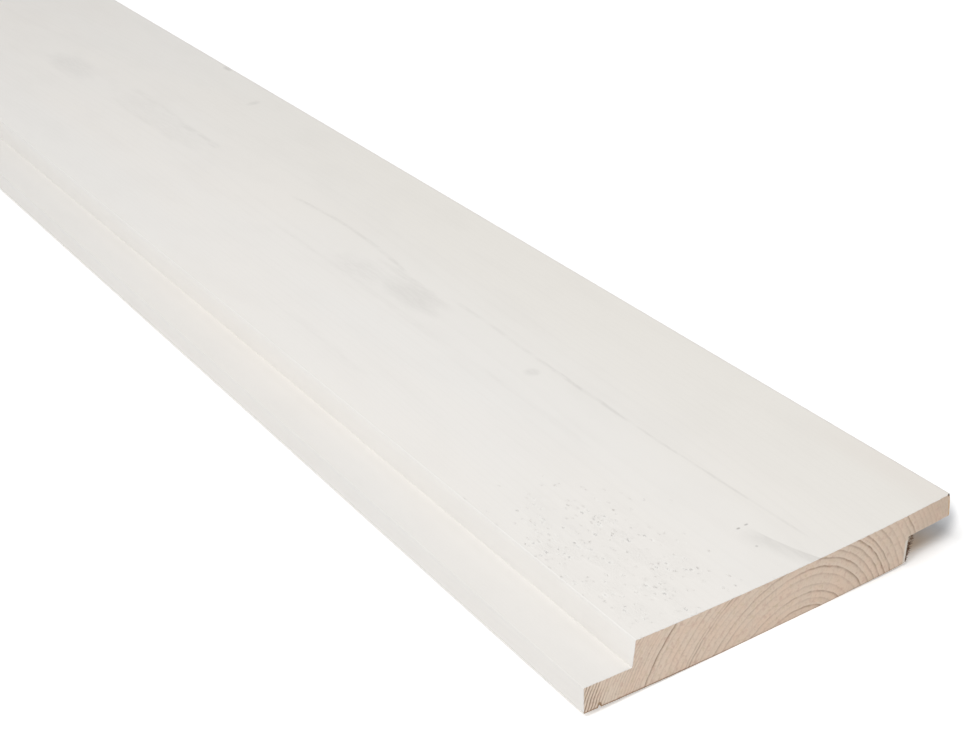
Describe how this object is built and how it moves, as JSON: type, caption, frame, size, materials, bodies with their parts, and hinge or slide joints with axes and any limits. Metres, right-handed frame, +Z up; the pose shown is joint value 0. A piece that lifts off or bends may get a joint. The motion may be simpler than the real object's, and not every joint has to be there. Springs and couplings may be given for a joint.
{
  "type": "rebated cladding board",
  "caption": "Straight length of primed timber cladding, slightly cupped, rebated in its face along one edge and in its back along the other so that neighbouring boards lap.",
  "frame": {"origin": "on the floor under the middle of the board's bounding box, where the cupped back touches it", "axes": "+X across the board from the back lap to the front lap, +Y along its length from the near cut end in the picture to the far one, +Z up from the back to the face"},
  "size_m": [0.1479, 2.4, 0.0207],
  "materials": {
    "primed_spruce": "matte"
  },
  "bodies": {
    "root": {"cladding_board": "primed_spruce"}
  },
  "joints": []
}
